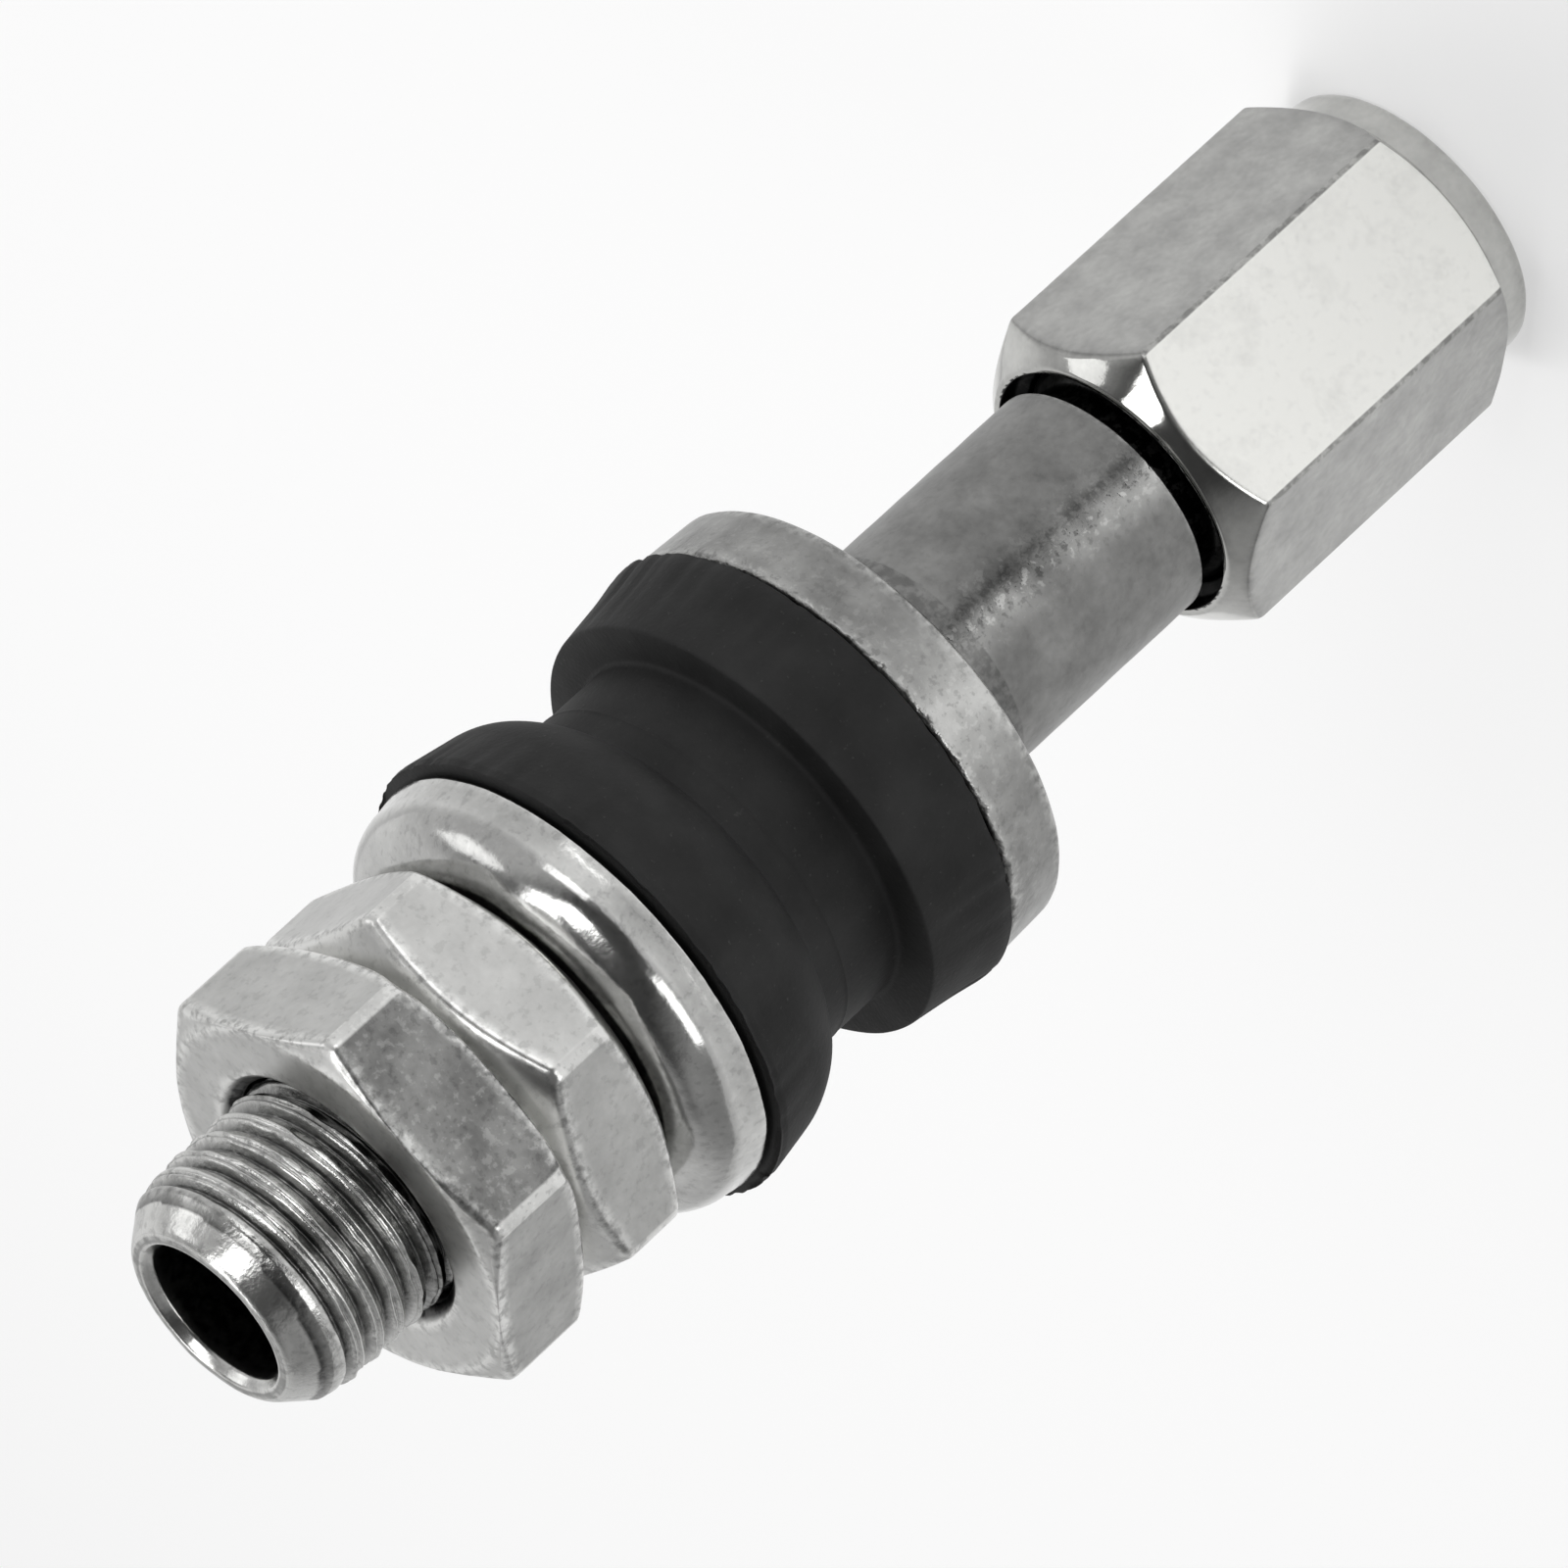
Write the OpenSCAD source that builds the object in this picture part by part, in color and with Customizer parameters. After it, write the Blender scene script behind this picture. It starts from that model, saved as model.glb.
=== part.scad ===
// Clamp-in tyre valve for a tubeless wheel rim.
// All pieces are turned or moulded about Z. Z = 0 is the rubber seat that bears on the rim.
// +Z points into the tyre, so the threaded end is up and the valve stands on its cap.

/* [Stem] */
// Diameter over the clamping thread
thread_d = 7.75; // [7.6:0.05:7.8]
// Height of the inner end above the rim seat
inner_end = 21.4; // [20.5:0.1:24]
// Height of the conical nose at the inner end
nose_len = 1; // [0.8:0.1:1.4]
// Width of the flat lip round the air bore
nose_lip = 0.5; // [0.2:0.05:0.6]
// Diameter of the air bore
air_bore_d = 4.64; // [4.2:0.02:4.8]
// Diameter of the metal flange where it meets the rubber
flange_d = 14.8; // [14:0.1:15]
// Thickness of the metal flange
flange_t = 2.3; // [2:0.05:2.8]
// Diameter of the smooth stem
stem_d = 7.72; // [7.66:0.02:7.8]
// Distance from the rim seat down to the stem's shoulder
shoulder_depth = 15.2; // [14.5:0.1:15.4]
// Diameter over the cap thread
cap_thread_d = 7.56; // [7.4:0.02:7.6]
// Pitch of the clamping thread and of the cap thread
thread_pitch = 0.794; // [0.75:0.001:0.85]
// Depth of the clamping thread and of the cap thread
thread_cut = 0.4; // [0.3:0.02:0.42]

/* [Grommet] */
// Diameter of the neck that fills the rim's hole
neck_d = 11.8; // [11.4:0.1:12]
// Length of the neck from the rim seat to the flare
neck_len = 3; // [2.6:0.1:3.2]
// Widest diameter, at the two sharp lips
lip_d = 15.14; // [14.9:0.02:15.3]
// Thickness of the outer rubber flange, from the seat to the metal flange
seat_t = 3; // [2.8:0.1:3.4]
// Height of the inner lip above the rim seat
inner_lip = 6.65; // [6.4:0.05:6.7]

/* [Washer and nuts] */
// Diameter of the cupped ring washer at its edge
washer_d = 14.54; // [14:0.02:14.8]
// Height of the ring washer
washer_h = 2.3; // [2.1:0.05:2.4]
// Size across the flats of both nuts
nut_af = 12; // [11.8:0.1:12.2]
// Thickness of the clamp nut
clamp_nut_t = 3.7; // [3.4:0.05:4]
// Thickness of the lock nut
lock_nut_t = 3.45; // [3.2:0.05:3.8]
// Turn of the clamp nut about the axis, in degrees
clamp_nut_turn = 17.5; // [-30:0.5:30]
// Turn of the lock nut about the axis, in degrees
lock_nut_turn = -1.8; // [-30:0.1:30]

/* [Cap] */
// Size across the flats of the cap
cap_af = 9.66; // [9.5:0.02:9.8]
// Length of the cap over all
cap_len = 12.9; // [12.6:0.1:13.4]
// Diameter of the round collar at the cap's closed end
collar_d = 9.2; // [9:0.05:9.3]
// Length of the round collar
collar_len = 1.1; // [0.9:0.05:1.4]
// Thickness of the cap's closed end
cap_wall = 1.5; // [1.3:0.05:1.7]
// Thickness of the sealing disc in the cap
seal_t = 1; // [0.8:0.05:1.1]
// Turn of the cap about the axis, in degrees
cap_turn = -6; // [-30:0.5:30]

/* [Valve core] */
// Diameter of the core plug's thread
plug_d = 4.84; // [4.7:0.02:4.86]
// Length of the core plug
plug_len = 3.7; // [3.4:0.1:4]
// Outer diameter of the core barrel
barrel_d = 3; // [2.9:0.02:3.04]
// Diameter of the core pin
pin_d = 0.9; // [0.8:0.02:1]
// Wire diameter of the core spring
wire_d = 0.24; // [0.2:0.01:0.26]
// Number of turns of the core spring
spring_turns = 11; // [8:1:13]
// Travel of the core pin when it is pressed
pin_travel = 1.2; // [0.8:0.1:1.3]

/* [Hidden] */
$fn = 96;

// Gaps: between pieces that turn or slide on each other, and between fixed pieces
run_gap = 0.05;
face_gap = 0.05;
seat_gap = 0.02;

// Radii of the stem
thread_r = thread_d / 2;
air_r = air_bore_d / 2;
stem_r = stem_d / 2;
cap_thread_r = cap_thread_d / 2;
flange_r = flange_d / 2;
flange_taper = 0.1;
undercut = 0.14;
undercut_w = 0.45;
edge = 0.15;
shoulder_edge = 0.05;

// Heights of the stem, counted from the rim seat
flange_top = -seat_t;
flange_low = flange_top - flange_t;
shoulder_z = -shoulder_depth;
cap_gap = 0.45;
mouth_z = shoulder_z - cap_gap;
cap_end = mouth_z - cap_len;
cap_floor = cap_end + cap_wall;
seal_top = cap_floor + seat_gap + seal_t;
valve_mouth = seal_top + face_gap;

// Heights of the stack on the threaded side
washer_low = inner_lip + 0.12;
washer_top = washer_low + washer_h;
clamp_low = washer_top + face_gap;
clamp_top = clamp_low + clamp_nut_t;
lock_low = clamp_top + face_gap;
lock_top = lock_low + lock_nut_t;

// Core chamber inside the stem, from the valve mouth upwards
chamber_r = plug_d / 2 + 0.03;
relief_r = 2.1;
cone_top_r = 1.78;
plug_low = valve_mouth + 0.1;
plug_top = plug_low + plug_len;
bridge_h = 1.25;
relief_z = plug_top + 0.75;
gasket_low = plug_top + 3.6;
gasket_len = 2.2;
cone_low = gasket_low - 0.3;
cone_top = gasket_low + gasket_len + 0.2;
barrel_r = barrel_d / 2;
barrel_bore = barrel_r - 0.38;
barrel_end = plug_top + 13.6;
barrel_floor = 0.6;
pin_r = pin_d / 2;
pin_hole_r = pin_r + 0.06;
collar_low = plug_top + 2;
pin_collar_h = 0.4;
gasket_t = 0.8;
cup_low = barrel_end + 0.3;
cup_floor = barrel_end + seat_gap + gasket_t + seat_gap;
cup_top = cup_floor + 0.6;
cup_r = 1.36;
cup_wall = 0.14;
pin_end = cup_top + 0.4;
chamber_top = pin_end + pin_travel + 0.4;

// Points of an elliptic arc from angle a0 to angle a1, in radius and height
function arc(r, z, ar, az, a0, a1, n = 10) =
    [for (i = [0:n]) let (a = a0 + (a1 - a0) * i / n) [r + ar * cos(a), z + az * sin(a)]];

// A thread as rings at its pitch, downwards from a height: root, flank, crest, flank
flank_w = thread_cut * tan(30);
root_w = thread_pitch / 6;
crest_w = thread_pitch - root_w - 2 * flank_w;
function rings(r, z, turns) =
    [for (i = [0:turns - 1]) let (top = z - i * thread_pitch, crest_z = top - root_w - flank_w)
        each [[r - thread_cut, top], [r - thread_cut, top - root_w], [r, crest_z], [r, crest_z - crest_w]]];

// A closed outline in radius and height, turned about the axis
module turned(points) {
    rotate_extrude() polygon(points);
}

// A round hole through heights z0 to z1
module hole(r, z0, z1) {
    translate([0, 0, z0]) cylinder(r = r, h = z1 - z0);
}

module valve_stem() {
    nose_r = air_r + nose_lip;
    crown_w = 0.2;
    crown_h = 0.12;
    nose_low = inner_end - nose_len;
    run_in = 0.2;
    rings_top = nose_low - flank_w;
    low_r = flange_r - flange_taper;
    groove_r = 3.35;
    groove_low = shoulder_z - 1;
    cap_rings_top = groove_low - cap_thread_r + groove_r - crest_w;
    lead = 0.35;
    lead_z = valve_mouth + lead;
    color("#8f8f8d") difference() {
        turned(concat(
            [[0, inner_end],
             [nose_r, inner_end],
             [nose_r + crown_w, inner_end - crown_h],
             [thread_r - run_in, nose_low]],
            rings(thread_r, rings_top, floor((rings_top - washer_low) / thread_pitch)),
            [[thread_r, flange_top],
             [flange_r - edge, flange_top],
             [flange_r, flange_top - edge],
             [low_r, flange_low + edge],
             [low_r - edge, flange_low],
             [stem_r - undercut, flange_low],
             [stem_r - undercut, flange_low - undercut_w + undercut],
             [stem_r, flange_low - undercut_w],
             [stem_r, shoulder_z + shoulder_edge],
             [stem_r - shoulder_edge, shoulder_z],
             [groove_r, shoulder_z],
             [groove_r, groove_low],
             [cap_thread_r, groove_low - cap_thread_r + groove_r]],
            rings(cap_thread_r, cap_rings_top, floor((cap_rings_top - lead_z) / thread_pitch)),
            [[cap_thread_r, lead_z],
             [cap_thread_r - lead, valve_mouth],
             [0, valve_mouth]]));
        core_chamber();
    }
}

// The bore: core thread, gasket cone, core passage, then the wider air bore
module core_chamber() {
    over = 1;
    turned([
        [0, valve_mouth - over],
        [chamber_r + 0.2, valve_mouth - over],
        [chamber_r + 0.2, valve_mouth],
        [chamber_r, valve_mouth + 0.2],
        [chamber_r, relief_z],
        [relief_r, relief_z + 0.3],
        [relief_r, cone_low],
        [cone_top_r, cone_top],
        [cone_top_r, chamber_top],
        [air_r, chamber_top + air_r - cone_top_r],
        [air_r, inner_end + over],
        [0, inner_end + over]]);
}

// One moulding: outer flange with the rim seat, neck, and inner flange with a boss for the washer
module rubber_grommet() {
    lip_r = lip_d / 2;
    neck_r = neck_d / 2;
    bore_r = thread_r + seat_gap;
    seat_r = lip_r - 0.42;
    seat_round = 0.12;
    lip_t = 0.35;
    flare_round = 2.5;
    flare_low = 65;
    flare_top = 12;
    boss_r = washer_d / 2 - 1.1;
    boss_h = washer_low + washer_h / 2 - 0.2;
    color("#242424") turned(concat(
        [[bore_r, flange_top + seat_gap],
         [flange_r - 0.1, flange_top + seat_gap],
         [lip_r, flange_top + 0.1],
         [lip_r, flange_top + lip_t + 0.1],
         [lip_r - 0.17, flange_top + 2.3 * lip_t + 0.5]],
        arc(seat_r - seat_round, -seat_round, seat_round, seat_round, 0, 90, 5),
        [[neck_r, 0]],
        arc(neck_r - flare_round * cos(flare_low), neck_len + flare_round * sin(flare_low),
            flare_round, flare_round, -flare_low, -flare_top, 8),
        [[lip_r, inner_lip - 0.3],
         [lip_r - 0.02, inner_lip],
         [boss_r, inner_lip + 0.05],
         [boss_r - 0.25, boss_h],
         [bore_r, boss_h]]));
}

// Pressed steel cup: a flat top under the nut, a round shoulder and a short flared skirt
module ring_washer() {
    edge_r = washer_d / 2;
    shoulder_r = edge_r - 0.14;
    skirt_h = 0.8;
    flat_r = shoulder_r - 1.75;
    wall = 1;
    cup_top_z = washer_top - wall - 0.1;
    color("#b4b4b2") difference() {
        turned(concat(
            [[0, washer_low], [edge_r - 0.08, washer_low], [edge_r, washer_low + 0.1]],
            arc(flat_r, washer_low + skirt_h, shoulder_r - flat_r, washer_h - skirt_h, 0, 90, 12),
            [[0, washer_top]]));
        turned([[0, washer_low - 1], [edge_r - wall + 0.05, washer_low - 1],
                [edge_r - wall + 0.05, washer_low], [edge_r - wall - 0.15, cup_top_z],
                [0, cup_top_z]]);
        hole(thread_r + 0.15, washer_low - 1, washer_top + 1);
    }
}

// Hexagon bar turned to an outline, with its corners slightly rounded
module hexagon(af, corner_r, z0, z1, turn) {
    intersection() {
        rotate([0, 0, turn]) translate([0, 0, z0]) cylinder(d = af / cos(30), h = z1 - z0, $fn = 6);
        hole(corner_r, z0, z1);
        children();
    }
}

// Threaded hole of a nut, countersunk at both faces
module nut_bore(z0, z1) {
    bore_r = thread_r + run_gap;
    sink = 0.4;
    turned([[0, z0 - 1], [bore_r + sink, z0 - 1], [bore_r + sink, z0], [bore_r, z0 + sink],
            [bore_r, z1 - sink], [bore_r + sink, z1], [bore_r + sink, z1 + 1], [0, z1 + 1]]);
}

// Chamfered on both faces
module clamp_nut() {
    corner_r = nut_af / 2 + 0.83;
    face_r = nut_af / 2 - 0.6;
    cone_r = corner_r + 0.4;
    cone_h = (cone_r - face_r) * tan(30);
    color("#b2b2b0") difference() {
        hexagon(nut_af, corner_r, clamp_low, clamp_top, clamp_nut_turn)
            turned([[0, clamp_low], [face_r, clamp_low], [cone_r, clamp_low + cone_h],
                    [cone_r, clamp_top - cone_h], [face_r, clamp_top], [0, clamp_top]]);
        nut_bore(clamp_low, clamp_top);
    }
}

// Chamfered on its outer face, with well rounded corners towards the clamp nut
module lock_nut() {
    corner_r = nut_af / 2 + 0.83;
    face_r = nut_af / 2;
    cone_r = corner_r + 0.4;
    cone_h = (cone_r - face_r) * tan(20);
    round_r = nut_af / 2 - 0.5;
    round_h = 1.3;
    color("#a9a9a7") difference() {
        hexagon(nut_af, corner_r, lock_low, lock_top, lock_nut_turn)
            turned(concat(
                [[0, lock_low]],
                arc(round_r, lock_low + round_h, cone_r - round_r, round_h, -90, 0),
                [[cone_r, lock_top - cone_h], [face_r, lock_top], [0, lock_top]]));
        nut_bore(lock_low, lock_top);
    }
}

// Hexagon with a conical mouth, and a round collar at the closed end
module hex_cap() {
    corner_r = cap_af / 2 + 0.7;
    lip_r = 4.37;
    mouth_bore = stem_r + 0.29;
    mouth_depth = 0.9;
    cone_r = corner_r + 0.3;
    mouth_cone = (cone_r - lip_r) * tan(42);
    collar_r = collar_d / 2;
    collar_top = cap_end + collar_len;
    end_cone = (cone_r - collar_r) * tan(34);
    round_r = 0.35;
    bore_r = cap_thread_r + run_gap;
    color("#d6d6d3") difference() {
        union() {
            hexagon(cap_af, corner_r, collar_top, mouth_z, cap_turn)
                turned([[0, collar_top], [collar_r, collar_top], [cone_r, collar_top + end_cone],
                        [cone_r, mouth_z - mouth_cone], [lip_r, mouth_z], [0, mouth_z]]);
            turned(concat(
                [[0, cap_end]],
                arc(collar_r - round_r, cap_end + round_r, round_r, round_r, -90, 0, 6),
                [[collar_r, collar_top + 0.2], [0, collar_top + 0.2]]));
        }
        turned([[0, cap_floor], [bore_r, cap_floor], [bore_r, mouth_z - mouth_depth],
                [mouth_bore, mouth_z - mouth_depth + mouth_bore - bore_r],
                [mouth_bore, mouth_z + 1], [0, mouth_z + 1]]);
    }
}

// Flat rubber disc on the floor of the cap
module cap_seal() {
    seal_r = cap_thread_r - 0.05;
    color("#2a2a2a") turned([[0, cap_floor + seat_gap], [seal_r, cap_floor + seat_gap],
                             [seal_r, seal_top], [0, seal_top]]);
}

// Threaded plug of the core: a ring with a bridge across its mouth for the core key
module core_plug() {
    plug_r = plug_d / 2;
    bridge_w = 2.3;
    window_r = 1.35;
    color("#b08d4a") difference() {
        turned([[0, plug_low], [plug_r - 0.25, plug_low], [plug_r, plug_low + 0.25],
                [plug_r, plug_top - 0.2], [plug_r - 0.2, plug_top], [0, plug_top]]);
        hole(pin_hole_r, plug_low - 1, plug_top + 1);
        hole(window_r, plug_low + bridge_h, plug_top + 1);
        for (side = [0, 180])
            rotate([0, 0, side]) translate([bridge_w / 2, -plug_r - 1, plug_low - 1])
                cube([plug_r, plug_d + 2, bridge_h + 1]);
    }
}

// Tube that hangs from the plug, with a groove for its gasket and a lip for the cup's gasket
module core_barrel() {
    head_r = 1.95;
    head_h = 0.5;
    stop_r = cone_top_r - 0.14;
    stop_h = 0.4;
    lip_h = 0.35;
    lip_r = barrel_bore + 0.12;
    seat_low = barrel_end - barrel_floor - lip_h;
    color("#b8964f") difference() {
        turned([[0, plug_top + seat_gap], [head_r, plug_top + seat_gap],
                [head_r, plug_top + head_h],
                [barrel_r, plug_top + head_h],
                [barrel_r, gasket_low + gasket_len + seat_gap],
                [stop_r, gasket_low + gasket_len + seat_gap],
                [stop_r, gasket_low + gasket_len + stop_h],
                [barrel_r, gasket_low + gasket_len + stop_h],
                [barrel_r, barrel_end - lip_h],
                [lip_r, barrel_end],
                [0, barrel_end]]);
        hole(barrel_bore, plug_top - 1, seat_low);
        hole(pin_hole_r, plug_top - 1, barrel_end + 1);
        hole(lip_r - 0.3, barrel_end - lip_h, barrel_end + 1);
    }
}

// Tapered ring that seals the barrel in the stem's cone
module barrel_gasket() {
    bore_r = barrel_r + seat_gap;
    wide_r = relief_r - 0.08;
    narrow_r = cone_top_r - 0.03;
    color("#e8e4da") turned([[bore_r, gasket_low], [wide_r, gasket_low],
                             [narrow_r, gasket_low + gasket_len],
                             [bore_r, gasket_low + gasket_len]]);
}

// Pin from the valve mouth to the cup, with the collar that the spring pushes on
module core_pin() {
    collar_r = barrel_bore - 0.12;
    tip = valve_mouth + 0.05;
    color("#c0a35c") turned([[0, tip], [pin_r - 0.1, tip], [pin_r, tip + 0.1],
                             [pin_r, collar_low], [collar_r, collar_low],
                             [collar_r, collar_low + pin_collar_h],
                             [pin_r, collar_low + pin_collar_h],
                             [pin_r, pin_end - 0.1], [pin_r - 0.1, pin_end], [0, pin_end]]);
}

// Cup that carries the sealing washer at the pin's inner end
module pin_cup() {
    bore_r = pin_r + seat_gap;
    color("#b8964f") turned([[bore_r, cup_floor], [cup_r - cup_wall, cup_floor],
                             [cup_r - cup_wall, cup_low], [cup_r, cup_low],
                             [cup_r, cup_top - 0.25], [cup_r - 0.35, cup_top],
                             [bore_r, cup_top]]);
}

// Rubber washer in the cup, pressed against the barrel's lip
module cup_gasket() {
    bore_r = pin_r + seat_gap;
    rim_r = cup_r - cup_wall - seat_gap;
    color("#1f1f1f") turned([[bore_r, barrel_end + seat_gap], [rim_r, barrel_end + seat_gap],
                             [rim_r, cup_floor - seat_gap], [bore_r, cup_floor - seat_gap]]);
}

// Round wire swept along a helix between the pin's collar and the barrel's floor
module core_spring() {
    sides = 6;
    per_turn = 16;
    wire_r = wire_d / 2;
    coil_r = barrel_bore - 0.18 - wire_r;
    low = collar_low + pin_collar_h + seat_gap + wire_r;
    high = barrel_end - barrel_floor - 0.35 - seat_gap - wire_r;
    steps = spring_turns * per_turn;
    rings = [for (i = [0:steps]) let (a = 360 * i / per_turn, z = low + (high - low) * i / steps)
        for (k = [0:sides - 1]) let (b = 360 * k / sides, r = coil_r + wire_r * cos(b))
            [r * cos(a), r * sin(a), z + wire_r * sin(b)]];
    walls = [for (i = [0:steps - 1]) for (k = [0:sides - 1])
        let (p = i * sides + k, q = i * sides + (k + 1) % sides)
            [p, p + sides, q + sides, q]];
    first = [for (k = [0:sides - 1]) k];
    last = [for (k = [sides - 1:-1:0]) steps * sides + k];
    color("#c9c9c9") polyhedron(rings, concat(walls, [first, last]));
}

valve_stem();
rubber_grommet();
ring_washer();
clamp_nut();
lock_nut();
hex_cap();
cap_seal();
core_plug();
core_barrel();
barrel_gasket();
core_pin();
pin_cup();
cup_gasket();
core_spring();
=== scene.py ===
"""Looks of a clamp-in tyre valve: plated stem, rubber grommet, ring washer, two nuts and a hexagon cap."""

import math

import bmesh
import bpy
from mathutils import Matrix, Vector, noise


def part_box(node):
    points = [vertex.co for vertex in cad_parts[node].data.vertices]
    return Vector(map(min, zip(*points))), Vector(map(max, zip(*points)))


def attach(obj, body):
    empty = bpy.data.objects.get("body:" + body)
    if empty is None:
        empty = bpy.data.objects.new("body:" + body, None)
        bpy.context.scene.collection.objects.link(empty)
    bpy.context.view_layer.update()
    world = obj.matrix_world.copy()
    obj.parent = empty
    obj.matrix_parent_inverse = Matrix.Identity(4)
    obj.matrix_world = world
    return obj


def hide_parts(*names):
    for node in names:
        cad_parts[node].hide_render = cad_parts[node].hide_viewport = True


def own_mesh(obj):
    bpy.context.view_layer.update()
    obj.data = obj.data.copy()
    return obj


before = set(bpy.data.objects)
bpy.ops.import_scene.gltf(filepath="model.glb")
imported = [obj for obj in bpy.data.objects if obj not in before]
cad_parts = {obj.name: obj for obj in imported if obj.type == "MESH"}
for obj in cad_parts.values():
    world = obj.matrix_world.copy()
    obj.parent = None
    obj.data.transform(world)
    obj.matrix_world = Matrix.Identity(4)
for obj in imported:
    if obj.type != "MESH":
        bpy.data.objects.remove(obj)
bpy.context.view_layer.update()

# Every size below is in millimetres and is turned to metres with MM
MM = 0.001
FULL_TURN = 2 * math.pi


def span(node):
    """Lowest height, highest height and widest radius of a solid."""
    low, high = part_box(node)
    return low.z / MM, high.z / MM, high.x / MM


# Heights and radii that the solids give
STEM_LOW, STEM_TOP, FLANGE_R = span("valve_stem")
RUBBER_LOW, RUBBER_TOP, LIP_R = span("rubber_grommet")
WASHER_LOW, WASHER_TOP, WASHER_R = span("ring_washer")
CLAMP_LOW, CLAMP_TOP, _ = span("clamp_nut")
LOCK_LOW, LOCK_TOP, _ = span("lock_nut")
CAP_LOW, CAP_TOP, _ = span("hex_cap")
SEAL_LOW, _, _ = span("cap_seal")
_, PLUG_TOP, PLUG_R = span("core_plug")
GASKET_LOW, GASKET_TOP, _ = span("barrel_gasket")
SPRING_LOW, SPRING_TOP, SPRING_R = span("core_spring")
_, PIN_TOP, _ = span("core_pin")

# Sizes that several functions share
SEAT_GAP = 0.02
RUN_GAP = 0.05
PITCH = 0.794
THREAD_R = 3.875
THREAD_CUT = 0.4
THREAD_TOP = STEM_TOP - 0.6
CAP_THREAD_R = 3.78
STEM_R = 3.86
AIR_R = 2.32
AIR_BEVEL = 0.22
AIR_LIP_R = AIR_R + 0.5
CROWN = STEM_TOP - 0.12
NOSE_LOW = STEM_TOP - 1
FLANGE_TOP = RUBBER_LOW - SEAT_GAP
FLANGE_LOW = FLANGE_TOP - 2.3
FLANGE_TAPER = 0.1
# Lower end of a band of painted shade below the flange, and the width of the row that gives it a crisp edge
SHADE_BAND_LOW = FLANGE_LOW - 2.3
SHADE_BAND_EDGE = 0.06
SHOULDER = CAP_TOP + 0.45
GROOVE_LOW = SHOULDER - 1
NUT_AF = 12.0
NUT_CORNER_R = NUT_AF / 2 + 0.83
CLAMP_NUT_TURN = math.radians(17.5)
LOCK_NUT_TURN = math.radians(-1.8)
CAP_AF = 9.66
CAP_CORNER_R = CAP_AF / 2 + 0.7
CAP_MOUTH_R = 4.15
CAP_TURN = math.radians(-6)
PIN_TRAVEL = 1.2

# How far off an edge the finish changes, so that points on the edge fall on one side: fine and soft edges
FINE_PLAY = 0.02
SOFT_PLAY = 0.06


# Outlines and meshes

# Places along the curve of a softened corner, and the rows of such a corner, with one more on each side
CURVE = (0, 0.25, 0.5, 0.75, 1)
CORNER_ROWS = len(CURVE) + 2


def softened(points, soft=0.08, band=0.25):
    """An open outline with each inner corner made a small curve: (radius, height, edge wear) points.
    A point may give its own softness after its radius and height."""
    curve_share, band_share = 0.42, 0.47
    least_wear, more_wear = 0.55, 0.45
    first, last = points[0], points[-1]
    done = [(first[0], first[1], 0)]
    for before, corner, after in zip(points, points[1:], points[2:]):
        here = Vector(corner[:2])
        size = corner[2] if len(corner) > 2 else soft
        back = Vector(before[:2]) - here
        ahead = Vector(after[:2]) - here
        start = here + back.normalized() * min(size, curve_share * back.length)
        end = here + ahead.normalized() * min(size, curve_share * ahead.length)
        far_back = here + back.normalized() * min(size + band, band_share * back.length)
        far_ahead = here + ahead.normalized() * min(size + band, band_share * ahead.length)
        done.append((*far_back, 0))
        for share in CURVE:
            p = start.lerp(here, share).lerp(here.lerp(end, share), share)
            done.append((*p, least_wear + more_wear * math.sin(math.pi * share)))
        done.append((*far_ahead, 0))
    done.append((last[0], last[1], 0))
    return done


def arc(r, z, width, height, start, stop, steps):
    """Points of an elliptic arc between two angles in degrees, in radius and height."""
    angles = [math.radians(start + (stop - start) * i / steps) for i in range(steps + 1)]
    return [(r + width * math.cos(a), z + height * math.sin(a)) for a in angles]


def ring_noise(a, waves, z=0):
    """Noise round the axis, from -1 to 1, with about that many waves to a radian."""
    return noise.noise(Vector((waves * math.cos(a), waves * math.sin(a), z)))


# One turn of thread, as shares of the pitch and of the cut: a torn double crest, flank, root, flank
THREAD_FORM = ((0.0, 0.16), (0.06, 0.02), (0.12, 0.0), (0.18, 0.1), (0.23, 0.36), (0.29, 0.14),
               (0.36, 0.1), (0.44, 0.34), (0.54, 0.9), (0.62, 1.0), (0.72, 0.52), (0.84, 0.28))


def thread(a, low, high, crest, limit, form):
    """Rows of a worn right-hand thread at one angle, no wider than the limit at each height."""
    run_out = 0.7 * PITCH
    worn_share = 0.4
    waves_round, waves_along = 4, 5
    rows = []
    for turn in range(math.ceil((high - low) / PITCH) + 1):
        for share, cut in form:
            z = low + (turn - 1 + share + a / FULL_TURN) * PITCH
            z = min(max(z, low), high)
            depth = min(1, (z - low) / run_out)
            worn = ring_noise(a, waves_round, waves_along * z)
            cut = cut + max(0, worn) * worn_share * (1 - cut)
            rows.append((min(limit(z), crest - THREAD_CUT * cut * depth), z, 1 - cut))
    return rows


def revolve(profile, angles):
    """A mesh from one outline per angle. Angle 0 faces -Y, and the last angle closes the turn."""
    same_place = 0.0002 * MM
    bm = bmesh.new()
    edge = bm.verts.layers.float.new("edge")
    columns = []
    for a in angles:
        column = []
        for r, z, wear in profile(a):
            vert = bm.verts.new((r * MM * math.sin(a), -r * MM * math.cos(a), z * MM))
            vert[edge] = wear
            column.append(vert)
        columns.append(column)
    for here, there in zip(columns, columns[1:]):
        rungs = list(zip(here, there))
        for (a, b), (d, c) in zip(rungs, rungs[1:]):
            bm.faces.new((a, b, c, d))
    bmesh.ops.remove_doubles(bm, verts=bm.verts, dist=same_place)
    bmesh.ops.recalc_face_normals(bm, faces=bm.faces)
    return bm


def round_angles(count):
    """Even angles round a full turn."""
    return [FULL_TURN * i / count for i in range(count + 1)]


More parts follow.
